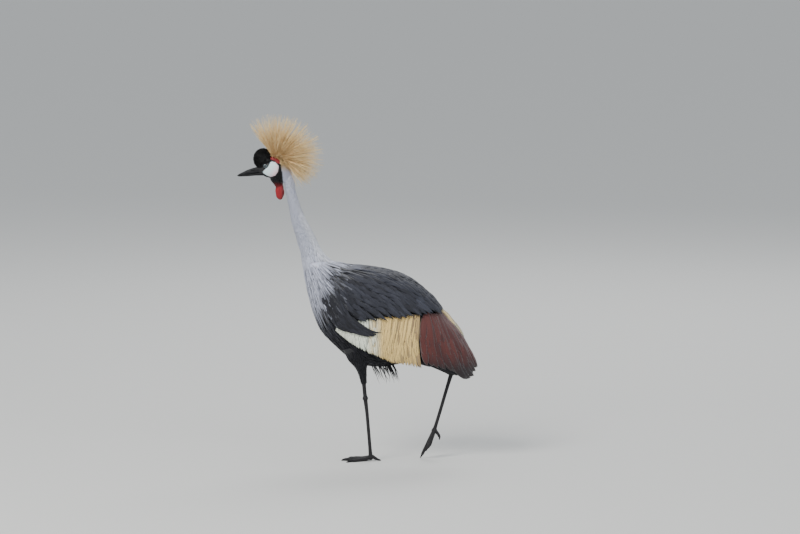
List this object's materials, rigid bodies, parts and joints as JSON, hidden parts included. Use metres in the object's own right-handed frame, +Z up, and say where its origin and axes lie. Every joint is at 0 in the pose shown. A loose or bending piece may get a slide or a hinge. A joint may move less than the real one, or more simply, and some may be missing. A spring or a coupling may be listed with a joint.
{
  "type": "grey crowned crane",
  "caption": "Life-size still model of a grey crowned crane in a slow walk, with its gold crown spread and its wings folded.",
  "frame": {"origin": "on the floor under the middle of the bird's bounding box", "axes": "+Z up; the bird faces -X and its left side is at -Y"},
  "size_m": [0.7285, 0.2131, 1.0561],
  "materials": {
    "slate_plumage": "matt slate grey feathers",
    "grey_plumage": "matt pale grey feathers",
    "black_plumage": "matt black feathers",
    "white_plumage": "satin white feathers",
    "straw_plumage": "satin straw gold feathers",
    "chestnut_plumage": "matt chestnut feathers",
    "crown_gold": "stiff straw gold bristles",
    "velvet_black": "velvet of short black feathers",
    "white_skin": "smooth bare skin",
    "red_skin": "bare red skin",
    "horn": "satin dark horn",
    "leg_scale": "scaled black skin",
    "eye": "glossy pale blue-grey eye with a dark pupil"
  },
  "bodies": {
    "root": {"torso": "slate_plumage", "neck_lower": "grey_plumage", "neck_upper": "grey_plumage", "bill_upper": "horn", "bill_lower": "horn", "wattle": "red_skin", "head": "velvet_black", "forehead_cushion": "velvet_black", "crown": "crown_gold", "tail": "black_plumage", "mantle": "slate_plumage", "eye_left": "eye", "cheek_left": "white_skin", "nape_skin_left": "red_skin", "wing_arm_left": "slate_plumage", "coverts_straw_left": "straw_plumage", "coverts_white_left": "white_plumage", "secondaries_left": "chestnut_plumage", "primaries_left": "black_plumage", "scapulars_left": "slate_plumage", "thigh_left": "slate_plumage", "shank_left": "leg_scale", "tarsus_left": "leg_scale", "foot_left": "leg_scale", "claw_left_middle": "horn", "claw_left_inner": "horn", "claw_left_outer": "horn", "claw_left_hind": "horn", "eye_right": "eye", "cheek_right": "white_skin", "nape_skin_right": "red_skin", "wing_arm_right": "slate_plumage", "coverts_straw_right": "straw_plumage", "coverts_white_right": "white_plumage", "secondaries_right": "chestnut_plumage", "primaries_right": "black_plumage", "scapulars_right": "slate_plumage", "thigh_right": "slate_plumage", "shank_right": "leg_scale", "tarsus_right": "leg_scale", "foot_right": "leg_scale", "claw_right_middle": "horn", "claw_right_inner": "horn", "claw_right_outer": "horn", "claw_right_hind": "horn"}
  },
  "joints": []
}
